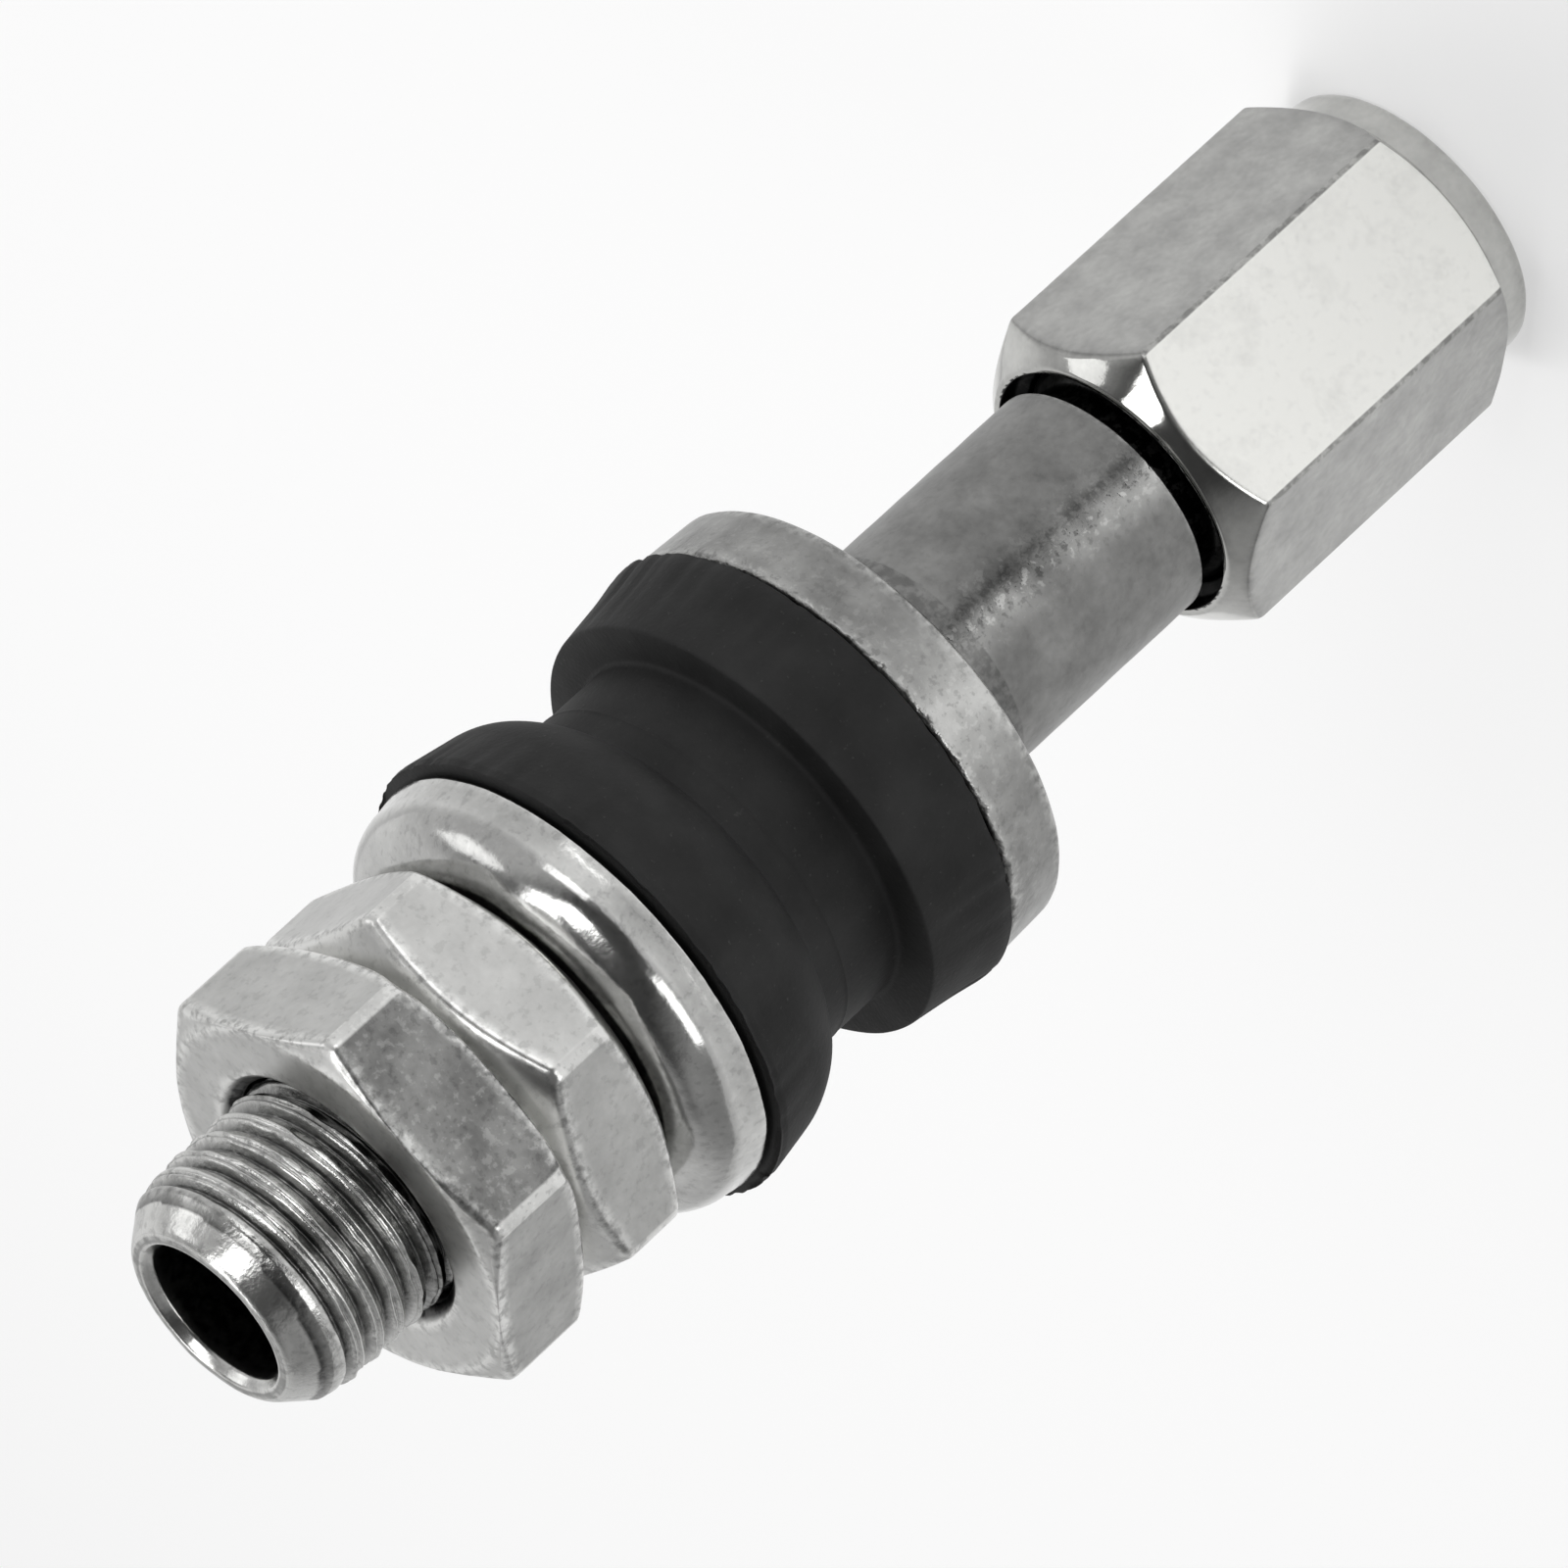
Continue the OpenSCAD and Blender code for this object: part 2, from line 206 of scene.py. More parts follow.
def hexagon_angles(turn):
    """Angles round a hexagon, close together at its corners."""
    half = [*range(0, 25, 2), 25.5, 27, 27.8, 28.3, 28.8, 29.3]
    flat = [-b for b in reversed(half[1:])] + half + [30]
    angles = [turn + math.radians(60 * i + b) for i in range(6) for b in flat]
    return angles + [turn + FULL_TURN - math.radians(half[-1])]


def hexagon_off(a, turn):
    """Angle from the middle of the hexagon's nearest flat."""
    sixth = FULL_TURN / 6
    return (a - turn + sixth / 2) % sixth - sixth / 2


def hexagon_radius(a, turn, flats, corner_r):
    """Distance from the axis to a hexagon's side, with its corners turned down to a cylinder."""
    side = flats / 2 / math.cos(hexagon_off(a, turn))
    blend = 0.03
    gap = max(blend - abs(side - corner_r), 0) / blend
    return min(side, corner_r) - gap * gap * blend / 4


def hexagon_side(a, turn):
    """Which of the six flats lies at an angle, counted from the one in front."""
    return int(((a - turn) / FULL_TURN * 6 + 0.5) // 1) % 6


def dented(bm, size, depth):
    """Presses the surface in by noise, to wear its edges and break up its reflections."""
    bm.normal_update()
    moves = [(noise.noise(v.co / (size * MM)) - 1) * depth * MM for v in bm.verts]
    for vert, move in zip(bm.verts, moves):
        vert.co += vert.normal * move


def finish(tone, polish, scuff=0, grime_and_shade=0):
    """How bright, polished and scuffed plated metal is at one place, and how dark with grime and painted
    shade, about 0 to 1 each.
    """
    return tone, polish, scuff, grime_and_shade


def finished(bm, rule):
    """Stores the finish that a rule gives for each point's angle, radius and height."""
    layers = [bm.verts.layers.float.new(name) for name in ("tone", "polish", "scuff", "grime_and_shade")]
    for vert in bm.verts:
        x, y, z = vert.co / MM
        for layer, value in zip(layers, rule(math.atan2(x, -y), math.hypot(x, y), z)):
            vert[layer] = value


def piece(name, bm, made_of, body, node):
    """Makes the mesh a piece that rides on a body in the place of a solid."""
    mesh = bpy.data.meshes.new(name)
    bm.to_mesh(mesh)
    bm.free()
    mesh.shade_smooth()
    mesh.materials.append(made_of)
    made = bpy.data.objects.new(name, mesh)
    bpy.context.scene.collection.objects.link(made)
    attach(made, body)
    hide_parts(node)
    return made


# Materials

# Sockets of a node that mixes two colours: its share, its two colours and the mixed one
SHARE, FIRST, SECOND = 0, 6, 7
MIXED = 2


def linear(colour):
    """An sRGB hex colour as linear red, green, blue and alpha."""
    parts = [int(colour[i:i + 2], 16) / 255 for i in (1, 3, 5)]
    return [p / 12.92 if p <= 0.04045 else ((p + 0.055) / 1.055) ** 2.4 for p in parts] + [1]


def per_mm(size):
    """Scale of a pattern whose marks have that size in millimetres."""
    return 1 / (size * MM)


def add(tree, kind, inputs=None, **settings):
    """Adds a node. An input is a value or the socket that is linked to it."""
    node = tree.nodes.new("ShaderNode" + kind)
    for name, value in settings.items():
        setattr(node, name, value)
    for name, value in (inputs or {}).items():
        if isinstance(value, bpy.types.NodeSocket):
            tree.links.new(value, node.inputs[name])
        else:
            node.inputs[name].default_value = value
    return node


def material(name):
    """An empty node material: its tree and its surface shader."""
    made = bpy.data.materials.new(name)
    made.use_nodes = True
    tree = made.node_tree
    return made, tree, tree.nodes["Principled BSDF"]


def plated_metal(name, dull, bright, rough, edge_tone=0.4, pits=0.1, bump=0.03):
    """Plated metal between a dull and a bright tone: faint clouds and grain, light flakes and dark pits
    where it is scuffed, worn edges, and grime and painted shade where the mesh darkens it. The tone,
    polish, scuff and grime_and_shade of the mesh steer it, and its roughness goes from matt to polished."""
    cloud_size, grain_size, flake_size = 1.4, 0.25, 0.3
    cloudy, grainy = 0.07, 0.03
    scuff_clouds, scuff_lift, scuff_pits = 0.25, 0.45, 0.4
    scuff_relief, least_relief = 0.8, 0.08
    made, tree, shader = material(name)
    place = add(tree, "TexCoord").outputs["Object"]
    clouds = add(tree, "TexNoise", {"Vector": place, "Scale": per_mm(cloud_size), "Detail": 3})
    grains = add(tree, "TexNoise", {"Vector": place, "Scale": per_mm(grain_size), "Detail": 2})
    flakes = add(tree, "TexNoise", {"Vector": place, "Scale": per_mm(flake_size), "Detail": 3,
                                    "Roughness": 0.6})
    tone, polish, scuff, grime_and_shade, edge = [add(tree, "Attribute", attribute_name=kind).outputs["Fac"]
                                       for kind in ("tone", "polish", "scuff", "grime_and_shade", "edge")]
    drift = add(tree, "MapRange", {"Value": clouds.outputs["Fac"], "From Min": 0.3, "From Max": 0.7,
                                   "To Min": -1, "To Max": 1})
    speck = add(tree, "MapRange", {"Value": grains.outputs["Fac"], "From Min": 0.3, "From Max": 0.7,
                                   "To Min": -grainy, "To Max": grainy})
    flake = add(tree, "MapRange", {"Value": flakes.outputs["Fac"], "From Min": 0.56, "From Max": 0.64})
    reach = add(tree, "Math", {0: scuff, 1: scuff_clouds, 2: cloudy}, operation="MULTIPLY_ADD")
    shade = add(tree, "Math", {0: drift.outputs[0], 1: reach.outputs[0], 2: tone},
                operation="MULTIPLY_ADD")
    shade = add(tree, "Math", {0: shade.outputs[0], 1: speck.outputs[0]}, operation="ADD")
    lift = add(tree, "Math", {0: scuff, 1: scuff_lift}, operation="MULTIPLY")
    shade = add(tree, "Math", {0: flake.outputs[0], 1: lift.outputs[0], 2: shade.outputs[0]},
                operation="MULTIPLY_ADD")
    ragged = add(tree, "MapRange", {"Value": flakes.outputs["Fac"], "From Min": 0.4, "From Max": 0.6})
    worn = add(tree, "Math", {0: edge, 1: ragged.outputs[0]}, operation="MULTIPLY")
    shade = add(tree, "Math", {0: worn.outputs[0], 1: edge_tone, 2: shade.outputs[0]},
                operation="MULTIPLY_ADD", use_clamp=True)
    pit = add(tree, "MapRange", {"Value": flakes.outputs["Fac"], "From Min": 0.44, "From Max": 0.36})
    depth = add(tree, "Math", {0: scuff, 1: scuff_pits, 2: pits}, operation="MULTIPLY_ADD", use_clamp=True)
    pitted = add(tree, "Math", {0: pit.outputs[0], 1: depth.outputs[0]}, operation="MULTIPLY")
    grime_and_shade_film = add(tree, "Math", {0: ragged.outputs[0], 1: grime_and_shade}, operation="ADD")
    grime_and_shade_film = add(tree, "Math", {0: grime_and_shade_film.outputs[0], 1: grime_and_shade}, operation="MULTIPLY")
    dark = add(tree, "Math", {0: pitted.outputs[0], 1: grime_and_shade_film.outputs[0]}, operation="MAXIMUM",
               use_clamp=True)
    metal = add(tree, "Mix", {SHARE: shade.outputs[0], FIRST: linear(dull), SECOND: linear(bright)},
                data_type="RGBA")
    # Pits, grime and painted shade darken the metal towards this near black
    colour = add(tree, "Mix", {SHARE: dark.outputs[0], FIRST: metal.outputs[MIXED],
                               SECOND: linear("#161616")}, data_type="RGBA")
    gloss = add(tree, "MapRange", {"Value": polish, "To Min": rough[0], "To Max": rough[1]})
    torn = add(tree, "Math", {0: scuff, 1: scuff_relief, 2: least_relief}, operation="MULTIPLY_ADD",
               use_clamp=True)
    relief = add(tree, "Bump", {"Height": flakes.outputs["Fac"], "Strength": torn.outputs[0],
                                "Distance": bump * MM})
    tree.links.new(colour.outputs[MIXED], shader.inputs["Base Color"])
    tree.links.new(gloss.outputs[0], shader.inputs["Roughness"])
    tree.links.new(relief.outputs[0], shader.inputs["Normal"])
    shader.inputs["Metallic"].default_value = 1
    return made


def black_rubber():
    """Moulded rubber: near black and matt, with a faint bloom and fine specks."""
    bloom_size, speck_size, speck_relief = 2.5, 0.16, 0.03
    made, tree, shader = material("moulded_black_rubber")
    place = add(tree, "TexCoord").outputs["Object"]
    bloom = add(tree, "TexNoise", {"Vector": place, "Scale": per_mm(bloom_size), "Detail": 5})
    specks = add(tree, "TexNoise", {"Vector": place, "Scale": per_mm(speck_size), "Detail": 3})
    dusty = add(tree, "MapRange", {"Value": specks.outputs["Fac"], "From Min": 0.66, "From Max": 0.8})
    patchy = add(tree, "MapRange", {"Value": bloom.outputs["Fac"], "From Min": 0.3, "From Max": 0.7})
    tone = add(tree, "Mix", {SHARE: patchy.outputs[0], FIRST: linear("#171717"),
                             SECOND: linear("#2b2b2b")}, data_type="RGBA")
    colour = add(tree, "Mix", {SHARE: dusty.outputs[0], FIRST: tone.outputs[MIXED],
                               SECOND: linear("#3c3c3b")}, data_type="RGBA")
    relief = add(tree, "Bump", {"Height": specks.outputs["Fac"], "Strength": 0.5,
                                "Distance": speck_relief * MM})
    tree.links.new(colour.outputs[MIXED], shader.inputs["Base Color"])
    tree.links.new(relief.outputs[0], shader.inputs["Normal"])
    shader.inputs["Roughness"].default_value = 0.7
    shader.inputs["Specular IOR Level"].default_value = 0.3
    return made


def plain_plastic(name, pale, deep, rough):
    """Turned fluoroplastic or moulded rubber of a small seal, slightly uneven in tone."""
    patch_size = 0.6
    made, tree, shader = material(name)
    place = add(tree, "TexCoord").outputs["Object"]
    uneven = add(tree, "TexNoise", {"Vector": place, "Scale": per_mm(patch_size), "Detail": 4})
    colour = add(tree, "Mix", {SHARE: uneven.outputs["Fac"], FIRST: linear(pale), SECOND: linear(deep)},
                 data_type="RGBA")
    tree.links.new(colour.outputs[MIXED], shader.inputs["Base Color"])
    shader.inputs["Roughness"].default_value = rough
    return made


# Dull nickel on the turned brass stem: mid grey, scuffed and pitted, brighter where it was cut, with painted
# highlights and shade from the stem's finish
STEM_METAL = plated_metal("dull_nickel_plated_brass", "#666665", "#d0d0ce", (0.42, 0.16), edge_tone=0.45,
                          pits=0.07, bump=0.09)
# Bright zinc on the pressed washer: smooth and glossy, slightly uneven
WASHER_METAL = plated_metal("bright_zinc_plated_washer", "#777776", "#dededc", (0.3, 0.12), edge_tone=0.2)
# Zinc on the cold-formed nuts: pale satin faces, scuffed flats with painted reflections and rubbed edges
NUT_METAL = plated_metal("zinc_plated_steel_nut", "#6e6e6d", "#e0e0de", (0.38, 0.2), edge_tone=0.6)
# Chrome on the hexagon cap: near white and cloudy where a flat carries a painted highlight, with dark specks
# along its edges
CAP_METAL = plated_metal("chrome_plated_brass_cap", "#888887", "#f8f8f4", (0.34, 0.08), edge_tone=-0.1,
                         pits=0.02)
# Turned brass of the valve core: warm, satin and even
CORE_METAL = plated_metal("turned_brass_core", "#b8945a", "#d8b670", (0.3, 0.2))
# Drawn stainless wire: clear grey with a soft shine
SPRING_METAL = plated_metal("drawn_stainless_wire", "#a2a2a0", "#d0d0ce", (0.25, 0.2))
# Rubber of the grommet: near black, matt and slightly dusty
RUBBER = black_rubber()
# Fluoroplastic of the barrel's gasket: milky and smooth
FLUOROPLASTIC = plain_plastic("turned_white_fluoroplastic", "#ece8de", "#d5d0c4", 0.4)
# Rubber of the small seals: near black and smoother than the grommet
SEAL_RUBBER = plain_plastic("moulded_seal_rubber", "#2b2b2a", "#1b1b1b", 0.6)


# Pieces

def bump_at(value, middle, width):
    """A smooth bump of height 1 at a middle value, for marks that fade to both sides."""
    return math.exp(-((value - middle) / width) ** 2)


def nose_limit(z):
    """Radius of the conical nose at a height, and of the thread below it."""
    run_in = 0.2
    run_in_low = NOSE_LOW - 1
    low_r = THREAD_R - run_in
    crown_r = AIR_R + 0.7
    if z > NOSE_LOW:
        return low_r + (crown_r - low_r) * (z - NOSE_LOW) / (CROWN - NOSE_LOW)
    return THREAD_R - run_in * max(0, z - run_in_low)


def stem_bore():
    """Stepped bore from the cap's end to the air bore: core chamber, relief, sealing cone and barrel room."""
    lead = 0.2
    chamber_r = PLUG_R + 0.03
    relief_r = 2.1
    relief_low = PLUG_TOP + 0.75
    relief_step = 0.3
    cone_r = 1.78
    cone_low = GASKET_LOW - 0.3
    cone_top = GASKET_TOP + 0.2
    room_top = PIN_TOP + PIN_TRAVEL + 0.4
    steps = [(chamber_r + lead, STEM_LOW), (chamber_r, STEM_LOW + lead), (chamber_r, relief_low),
             (relief_r, relief_low + relief_step), (relief_r, cone_low), (cone_r, cone_top),
             (cone_r, room_top), (AIR_R, room_top + AIR_R - cone_r)]
    return [(r, z, 0) for r, z in steps]


def stem_nose():
    """Mouth of the air bore with its bevel and lip, and the cone down to the clamping thread."""
    bevel_low = STEM_TOP - 0.3
    return softened([
        (AIR_R, 0), (AIR_R, bevel_low), (AIR_R + AIR_BEVEL, STEM_TOP, 0.08), (AIR_LIP_R, STEM_TOP, 0.12),
        (nose_limit(CROWN), CROWN, 0.15), (nose_limit(THREAD_TOP), THREAD_TOP)])


def stem_middle(a):
    """Flange with a chipped edge and an undercut below it, smooth stem, shoulder and groove."""
    chip = 0.2 * max(0, ring_noise(a, 16))
    edge = 0.1 + chip
    low_r = FLANGE_R - FLANGE_TAPER
    low_edge = 0.15
    undercut = 0.14
    undercut_low = FLANGE_LOW - 0.45
    flange_end = FLANGE_LOW - 0.8
    smooth_low = SHOULDER + 0.4
    smooth_steps = 24
    sharp = 0.02
    shoulder_edge = 0.05
    groove_r = 3.35
    flange = softened([
        (THREAD_R, FLANGE_TOP), (FLANGE_R - edge, FLANGE_TOP), (FLANGE_R, FLANGE_TOP - edge),
        (low_r, FLANGE_LOW + low_edge), (low_r - low_edge, FLANGE_LOW), (STEM_R - undercut, FLANGE_LOW),
        (STEM_R - undercut, undercut_low + undercut), (STEM_R, undercut_low), (STEM_R, flange_end)])
    smooth = [(STEM_R, SHADE_BAND_LOW + SHADE_BAND_EDGE, 0)]
    smooth += [(STEM_R, SHADE_BAND_LOW + (smooth_low - SHADE_BAND_LOW) * i / smooth_steps, 0)
               for i in range(smooth_steps)]
    shoulder = softened([
        (STEM_R, smooth_low), (STEM_R, SHOULDER + shoulder_edge, sharp),
        (STEM_R - shoulder_edge, SHOULDER, sharp), (groove_r, SHOULDER, sharp), (groove_r, GROOVE_LOW),
        (CAP_THREAD_R, GROOVE_LOW - CAP_THREAD_R + groove_r)])
    return flange + smooth + shoulder


def stem_outline(a):
    """The whole stem at one angle: bore, nose, clamping thread, flange, smooth stem and cap thread.
    The cap thread, hidden in the cap at rest, takes every other point of the thread's form."""
    lead = 0.35
    lead_wear = 0.3
    cap_thread_top = GROOVE_LOW - 0.5
    bore = stem_bore()
    clamp_rows = thread(a, WASHER_LOW, THREAD_TOP, THREAD_R, nose_limit, THREAD_FORM)
    cap_rows = thread(a, STEM_LOW + lead, cap_thread_top, CAP_THREAD_R, lambda z: CAP_THREAD_R,
                      THREAD_FORM[::2])
    end = [(CAP_THREAD_R, STEM_LOW + lead, 0), (CAP_THREAD_R - lead, STEM_LOW, lead_wear), bore[0]]
    return bore + stem_nose() + clamp_rows[::-1] + stem_middle(a) + cap_rows[::-1] + end


def stem_finish(a, r, z):
    """Dull stem with a painted highlight streak, a dark line of painted reflection, and scuffs and pits along
    its front, a band of painted shade beside the brighter flange, whose front carries a painted highlight and
    scuffs, a thread brighter at its crests and darker toward its roots with a painted shadow by the lock nut,
    a bright nose and painted shade down the bore."""
    bore_dark = STEM_TOP - 0.35
    nose_end = STEM_TOP - 0.7
    front = math.degrees(a)
    # In the bore: painted shade that deepens below bore_dark
    if r < AIR_R + AIR_BEVEL + SOFT_PLAY:
        return finish(tone=0.8, polish=0.8, grime_and_shade=min(0.95, max(0, 2 * (bore_dark - z))))
    if r < AIR_LIP_R:
        return finish(tone=0.35, polish=0.4, scuff=0.05)
    if z > nose_end:
        return finish(tone=0.9, polish=0.7, scuff=0.15)
    if z > FLANGE_TOP:
        crest = max(0, 1 - (THREAD_R - r) / THREAD_CUT)
        # Darker toward the roots, and a painted shadow on the thread beside the lock nut's face
        root_dark_and_nut_shadow = max(0.5 * (1 - crest) ** 2, 0.5 * bump_at(z, LOCK_TOP, 0.6))
        return finish(tone=0.26 + 0.74 * crest ** 2, polish=0.6, scuff=0.3, grime_and_shade=root_dark_and_nut_shadow)
    if z > FLANGE_LOW - FINE_PLAY:
        # A painted highlight on the flange's front, which is scuffed there as well
        highlight_and_scuff = bump_at(front, -12, 11)
        ragged = bump_at(z, FLANGE_TOP, 0.35)
        return finish(tone=0.25 + 0.6 * highlight_and_scuff + 0.2 * ragged, polish=0.3,
                      scuff=0.1 + 0.3 * highlight_and_scuff + 0.8 * ragged, grime_and_shade=0.25 * ragged)
    if z > SHOULDER - FINE_PLAY:
        # Along the front: a painted highlight streak, brightest near the shoulder, and a dark line of painted
        # reflection; the marks there are scuffs and pits
        highlight_streak = bump_at(front, -8, 8)
        dark_reflection_line = bump_at(front, 5, 5)
        marks = bump_at(front, -1, 10)
        # A band of painted shade below the flange
        band = 0.32 if z > SHADE_BAND_LOW + SHADE_BAND_EDGE / 2 else 0
        painted_highlight = highlight_streak * (0.2 + 0.3 * bump_at(z, SHOULDER, 3))
        return finish(tone=0.16 + painted_highlight, polish=0.2 + 0.4 * marks, scuff=0.04 + marks,
                      grime_and_shade=max(band, 0.5 * dark_reflection_line))
    # Below the shoulder, inside the cap's mouth: painted shade
    return finish(tone=0.2, polish=0.3, scuff=0.1, grime_and_shade=0.9 * bump_at(z, SHOULDER, 1.5))


def grommet_outline(a):
    """Outer flange with the rim seat, neck, and inner flange with the boss under the washer. Both lips
    are ragged."""
    ragged = 0.16 * ring_noise(a, 14)
    lip_r = LIP_R + min(0, ragged)
    lip_low, lip_top = RUBBER_LOW + 0.08, RUBBER_LOW + 0.43
    waist, waist_in = RUBBER_LOW + 1.3, 0.17
    bore_r = THREAD_R + SEAT_GAP
    seat_r = LIP_R - 0.42
    neck_r = 5.9
    neck_len = 3
    seam, seam_half, seam_high = 2.1, 0.1, 0.03
    flare = 2.5
    flare_from, flare_to, flare_steps = 65, 12, 12
    flare_r = neck_r - flare * math.cos(math.radians(flare_from))
    flare_z = neck_len + flare * math.sin(math.radians(flare_from))
    inner_lip = WASHER_LOW - 0.12
    inner_lip_t = 0.28
    boss_r = WASHER_R - 1.1
    boss_low = inner_lip + 0.05
    boss_slope = 0.25
    outline = [
        (bore_r, RUBBER_LOW), (FLANGE_R - FLANGE_TAPER, RUBBER_LOW), (lip_r, lip_low, 0.03),
        (lip_r, lip_top, 0.2), (lip_r - waist_in, waist, 0.3), (seat_r, 0, 0.12), (neck_r, 0, 0.15),
        (neck_r, seam - seam_half), (neck_r + seam_high, seam, 0.02), (neck_r, seam + seam_half)]
    outline += arc(flare_r, flare_z, flare, flare, -flare_from, -flare_to, flare_steps)
    outline += [
        (lip_r, inner_lip - inner_lip_t, 0.05), (lip_r - 0.02, inner_lip, 0.02), (boss_r, boss_low),
        (boss_r - boss_slope, RUBBER_TOP), (bore_r, RUBBER_TOP), (bore_r, RUBBER_LOW)]
    return softened(outline, soft=0.1)


def washer_outline(a):
    """Pressed steel cup, the same at every angle: flat top under the nut, round shoulder and a short
    flared skirt."""
    shoulder_r = WASHER_R - 0.14
    skirt = WASHER_LOW + 0.8
    flat_r = shoulder_r - 1.75
    hole_r = THREAD_R + 0.15
    cup_r = WASHER_R - 0.95
    cup_top = WASHER_TOP - 1.1
    cup_slope = 0.2
    dome_steps = 24
    dome = arc(flat_r, skirt, shoulder_r - flat_r, WASHER_TOP - skirt, 0, 90, dome_steps)
    rim = softened([(cup_r, WASHER_LOW), (WASHER_R, WASHER_LOW, 0.15), dome[0]])
    inside = softened([dome[-1], (hole_r, WASHER_TOP), (hole_r, cup_top), (cup_r - cup_slope, cup_top),
                       (cup_r, WASHER_LOW)])
    return rim + [(r, z, 0) for r, z in dome[1:-1]] + inside


def washer_finish(a, r, z):
    """Glossy all over, painted lighter near the axis, against the shade of the clamp nut: on the flat top, in
    the hole and under it.
    """
    flat_r = WASHER_R - 1.8
    # Painted light on the flat top, in the hole and under it
    return finish(tone=0.95 if r < flat_r else 0.62, polish=0.75, scuff=0.15)


def nut_rows(low, high, sides):
    """Rows of a nut: countersunk hole, upper face, sides and lower face. They stop on both sides of the
    lower countersink, which stays open where the nut hides it."""
    bore_r = THREAD_R + RUN_GAP
    sink = 0.4
    bore = [(bore_r + sink, low), (bore_r, low + sink), (bore_r, high - sink), (bore_r + sink, high)]
    return softened(bore + sides + bore[:2])[CORNER_ROWS:-CORNER_ROWS]


def clamp_nut_outline(a):
    """Hexagon with a 30 degree chamfer on both faces."""
    face_r = NUT_AF / 2 - 0.6
    worn_top, worn_low = 0.22, 0.16
    r = hexagon_radius(a, CLAMP_NUT_TURN, NUT_AF, NUT_CORNER_R)
    drop = (r - face_r) * math.tan(math.radians(30))
    return nut_rows(CLAMP_LOW, CLAMP_TOP, [
        (face_r, CLAMP_TOP), (r, CLAMP_TOP - drop, worn_top), (r, CLAMP_LOW + drop, worn_low),
        (face_r, CLAMP_LOW)])


def lock_nut_outline(a):
    """Hexagon with a 20 degree chamfer on its outer face and a round lower side."""
    face_r = NUT_AF / 2
    face_edge = 0.05
    worn_top, worn_low = 0.24, 0.16
    round_r = NUT_AF / 2 - 0.5
    round_reach = NUT_CORNER_R + 0.4 - round_r
    round_height = 1.3
    r = hexagon_radius(a, LOCK_NUT_TURN, NUT_AF, NUT_CORNER_R)
    drop = (r - face_r) * math.tan(math.radians(20))
    middle_r = (r + round_r) / 2
    rise, middle_rise = [round_height * (1 - math.sqrt(1 - ((p - round_r) / round_reach) ** 2))
                         for p in (r, middle_r)]
    return nut_rows(LOCK_LOW, LOCK_TOP, [
        (face_r - face_edge, LOCK_TOP), (r, LOCK_TOP - drop, worn_top), (r, LOCK_LOW + rise, worn_low),
        (middle_r, LOCK_LOW + middle_rise), (round_r, LOCK_LOW)])


def nut_finish(turn, low, top, gap, flats):
    """Pale faces with painted light at the height of the gap between the nuts, flats given as tone, a painted
    reflection, and scuff from the spanner, rubbed corners and ends, and painted shade in the hole."""
    hole_r = THREAD_R + 0.3
    corner = math.radians(27.9)
    rubbed_width = 0.45

    def rule(a, r, z):
        if r < hole_r:
            # Painted shade in the hole
            return finish(tone=0.1, polish=0.3, scuff=0.1, grime_and_shade=0.7)
        if r < hexagon_radius(a, turn, NUT_AF, NUT_CORNER_R) - SOFT_PLAY:
            # Painted light on the faces at the height of the gap between the nuts
            return finish(tone=0.62 + 0.3 * bump_at(z, gap, 0.4), polish=0.4, scuff=0.05)
        if abs(hexagon_off(a, turn)) > corner:
            return finish(tone=0.8, polish=0.4, scuff=0.3)
        # Each flat's tone is a painted reflection, its scuff a real one
        tone, scuff = flats[hexagon_side(a, turn)]
        rubbed = max(0, 1 - min(z - low, top - z) / rubbed_width)
        return finish(tone=tone + 0.3 * rubbed, polish=0.3, scuff=scuff + 0.3 * rubbed)
    return rule


def cap_outline(a):
    """Hexagon with a conical mouth, a round collar at the closed end and a threaded bore."""
    lip_r = 4.37
    collar_r = 4.6
    collar_top = CAP_LOW + 1.1
    bore_r = CAP_THREAD_R + RUN_GAP
    mouth_low = CAP_TOP - 0.9
    floor = SEAL_LOW - SEAT_GAP
    mouth_slope, end_slope = math.radians(42), math.radians(34)
    r = hexagon_radius(a, CAP_TURN, CAP_AF, CAP_CORNER_R)
    mouth_drop = (r - lip_r) * math.tan(mouth_slope)
    end_rise = (r - collar_r) * math.tan(end_slope)
    return softened([
        (0, floor), (bore_r, floor), (bore_r, mouth_low), (CAP_MOUTH_R, mouth_low + CAP_MOUTH_R - bore_r),
        (CAP_MOUTH_R, CAP_TOP, 0.05), (lip_r, CAP_TOP, 0.08), (r, CAP_TOP - mouth_drop, 0.2),
        (r, collar_top + end_rise, 0.1), (collar_r, collar_top, 0.05), (collar_r, CAP_LOW, 0.35),
        (0, CAP_LOW)])


def cap_finish(a, r, z):
    """Flats each with its own tone, a painted highlight on the one in front and darker painted reflections on
    those beside it, speckled corners, a polished mouth and collar and painted shade in the bore."""
    # Tone of each flat from the one in front: a painted highlight, then painted reflections, darkest beside
    # it
    flats = (1.0, 0.2, 0.45, 0.7, 0.35, 0.18)
    bore_r = CAP_MOUTH_R + 0.05
    corner = math.radians(29)
    if r < bore_r:
        # Painted shade in the bore
        return finish(tone=0, polish=0, grime_and_shade=0.95)
    if r < hexagon_radius(a, CAP_TURN, CAP_AF, CAP_CORNER_R) - SOFT_PLAY:
        return finish(tone=0.42, polish=1)
    if abs(hexagon_off(a, CAP_TURN)) > corner:
        return finish(tone=0.4, polish=0.3, scuff=0.3, grime_and_shade=0.4)
    return finish(tone=flats[hexagon_side(a, CAP_TURN)], polish=0.3, scuff=0.05)


